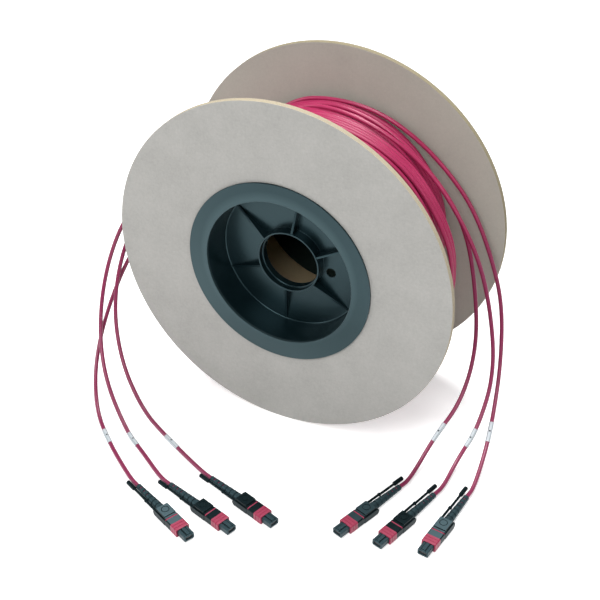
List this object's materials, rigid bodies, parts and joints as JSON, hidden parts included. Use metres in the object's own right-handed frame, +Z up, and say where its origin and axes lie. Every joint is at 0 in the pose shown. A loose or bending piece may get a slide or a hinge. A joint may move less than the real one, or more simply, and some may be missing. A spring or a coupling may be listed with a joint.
{
  "type": "fibre optic trunk cable",
  "caption": "Fibre optic trunk cable wound on a cardboard reel with moulded hubs; its labelled legs end at both ends in push-pull multi-fibre plugs that lie on the floor.",
  "frame": {"origin": "on the floor, under the middle of the reel", "axes": "+Z up, reel axis along Y, front flange towards -Y where the plugs lie, +X to the right seen from the front"},
  "size_m": [0.3553, 0.2984, 0.3],
  "materials": {
    "reel_board": "grey board, matt",
    "tube_board": "brown board, matt",
    "hub_plastic": "moulded, satin black",
    "cable_jacket": "extruded jacket, satin magenta",
    "label_film": "white film, satin",
    "plug_black": "moulded, fine texture, black",
    "plug_magenta": "moulded, satin magenta",
    "ferrule_resin": "filled resin with a polished end face",
    "spring_steel": "drawn wire"
  },
  "bodies": {
    "reel": {"front_flange": "reel_board", "rear_flange": "reel_board", "core_tube": "tube_board", "front_hub": "hub_plastic", "rear_hub": "hub_plastic", "cable_winding": "cable_jacket", "leg_left_1": "cable_jacket", "label_sleeve_left_1": "label_film", "boot_left_1": "plug_black", "rear_body_left_1": "plug_black", "inner_housing_left_1": "plug_black", "ferrule_spring_left_1": "spring_steel", "leg_left_2": "cable_jacket", "label_sleeve_left_2": "label_film", "boot_left_2": "plug_black", "rear_body_left_2": "plug_black", "inner_housing_left_2": "plug_black", "ferrule_spring_left_2": "spring_steel", "leg_left_3": "cable_jacket", "label_sleeve_left_3": "label_film", "boot_left_3": "plug_black", "rear_body_left_3": "plug_black", "inner_housing_left_3": "plug_black", "ferrule_spring_left_3": "spring_steel", "leg_right_1": "cable_jacket", "label_sleeve_right_1": "label_film", "boot_right_1": "plug_black", "rear_body_right_1": "plug_black", "inner_housing_right_1": "plug_black", "ferrule_spring_right_1": "spring_steel", "leg_right_2": "cable_jacket", "label_sleeve_right_2": "label_film", "boot_right_2": "plug_black", "rear_body_right_2": "plug_black", "inner_housing_right_2": "plug_black", "ferrule_spring_right_2": "spring_steel", "leg_right_3": "cable_jacket", "label_sleeve_right_3": "label_film", "boot_right_3": "plug_black", "rear_body_right_3": "plug_black", "inner_housing_right_3": "plug_black", "ferrule_spring_right_3": "spring_steel"},
    "release_left_1": {"outer_housing_left_1": "plug_magenta", "pull_tab_left_1": "plug_black"},
    "floating_ferrule_left_1": {"ferrule_left_1": "ferrule_resin"},
    "release_left_2": {"outer_housing_left_2": "plug_magenta", "pull_tab_left_2": "plug_black"},
    "floating_ferrule_left_2": {"ferrule_left_2": "ferrule_resin"},
    "release_left_3": {"outer_housing_left_3": "plug_magenta", "pull_tab_left_3": "plug_black"},
    "floating_ferrule_left_3": {"ferrule_left_3": "ferrule_resin"},
    "release_right_1": {"outer_housing_right_1": "plug_magenta", "pull_tab_right_1": "plug_black"},
    "floating_ferrule_right_1": {"ferrule_right_1": "ferrule_resin"},
    "release_right_2": {"outer_housing_right_2": "plug_magenta", "pull_tab_right_2": "plug_black"},
    "floating_ferrule_right_2": {"ferrule_right_2": "ferrule_resin"},
    "release_right_3": {"outer_housing_right_3": "plug_magenta", "pull_tab_right_3": "plug_black"},
    "floating_ferrule_right_3": {"ferrule_right_3": "ferrule_resin"}
  },
  "joints": [
    {"name": "release_slide_left_1", "type": "slide", "parent": "reel", "child": "release_left_1", "axis": [-0.9085, 0.4179, 0], "range_m": [0, 0.002], "stiffness_N_per_m": 800, "springref_m": -0.002},
    {"name": "ferrule_float_left_1", "type": "slide", "parent": "reel", "child": "floating_ferrule_left_1", "axis": [-0.9085, 0.4179, 0], "range_m": [0, 0.0008], "stiffness_N_per_m": 2000, "springref_m": -0.004, "deforming": ["ferrule_spring_left_1"]},
    {"name": "release_slide_left_2", "type": "slide", "parent": "reel", "child": "release_left_2", "axis": [-0.9527, 0.304, 0], "range_m": [0, 0.002], "stiffness_N_per_m": 800, "springref_m": -0.002},
    {"name": "ferrule_float_left_2", "type": "slide", "parent": "reel", "child": "floating_ferrule_left_2", "axis": [-0.9527, 0.304, 0], "range_m": [0, 0.0008], "stiffness_N_per_m": 2000, "springref_m": -0.004, "deforming": ["ferrule_spring_left_2"]},
    {"name": "release_slide_left_3", "type": "slide", "parent": "reel", "child": "release_left_3", "axis": [-0.9527, 0.304, 0], "range_m": [0, 0.002], "stiffness_N_per_m": 800, "springref_m": -0.002},
    {"name": "ferrule_float_left_3", "type": "slide", "parent": "reel", "child": "floating_ferrule_left_3", "axis": [-0.9527, 0.304, 0], "range_m": [0, 0.0008], "stiffness_N_per_m": 2000, "springref_m": -0.004, "deforming": ["ferrule_spring_left_3"]},
    {"name": "release_slide_right_1", "type": "slide", "parent": "reel", "child": "release_right_1", "axis": [0.3223, 0.9466, 0], "range_m": [0, 0.002], "stiffness_N_per_m": 800, "springref_m": -0.002},
    {"name": "ferrule_float_right_1", "type": "slide", "parent": "reel", "child": "floating_ferrule_right_1", "axis": [0.3223, 0.9466, 0], "range_m": [0, 0.0008], "stiffness_N_per_m": 2000, "springref_m": -0.004, "deforming": ["ferrule_spring_right_1"]},
    {"name": "release_slide_right_2", "type": "slide", "parent": "reel", "child": "release_right_2", "axis": [0.2656, 0.9641, 0], "range_m": [0, 0.002], "stiffness_N_per_m": 800, "springref_m": -0.002},
    {"name": "ferrule_float_right_2", "type": "slide", "parent": "reel", "child": "floating_ferrule_right_2", "axis": [0.2656, 0.9641, 0], "range_m": [0, 0.0008], "stiffness_N_per_m": 2000, "springref_m": -0.004, "deforming": ["ferrule_spring_right_2"]},
    {"name": "release_slide_right_3", "type": "slide", "parent": "reel", "child": "release_right_3", "axis": [0.1201, 0.9928, 0], "range_m": [0, 0.002], "stiffness_N_per_m": 800, "springref_m": -0.002},
    {"name": "ferrule_float_right_3", "type": "slide", "parent": "reel", "child": "floating_ferrule_right_3", "axis": [0.1201, 0.9928, 0], "range_m": [0, 0.0008], "stiffness_N_per_m": 2000, "springref_m": -0.004, "deforming": ["ferrule_spring_right_3"]}
  ]
}
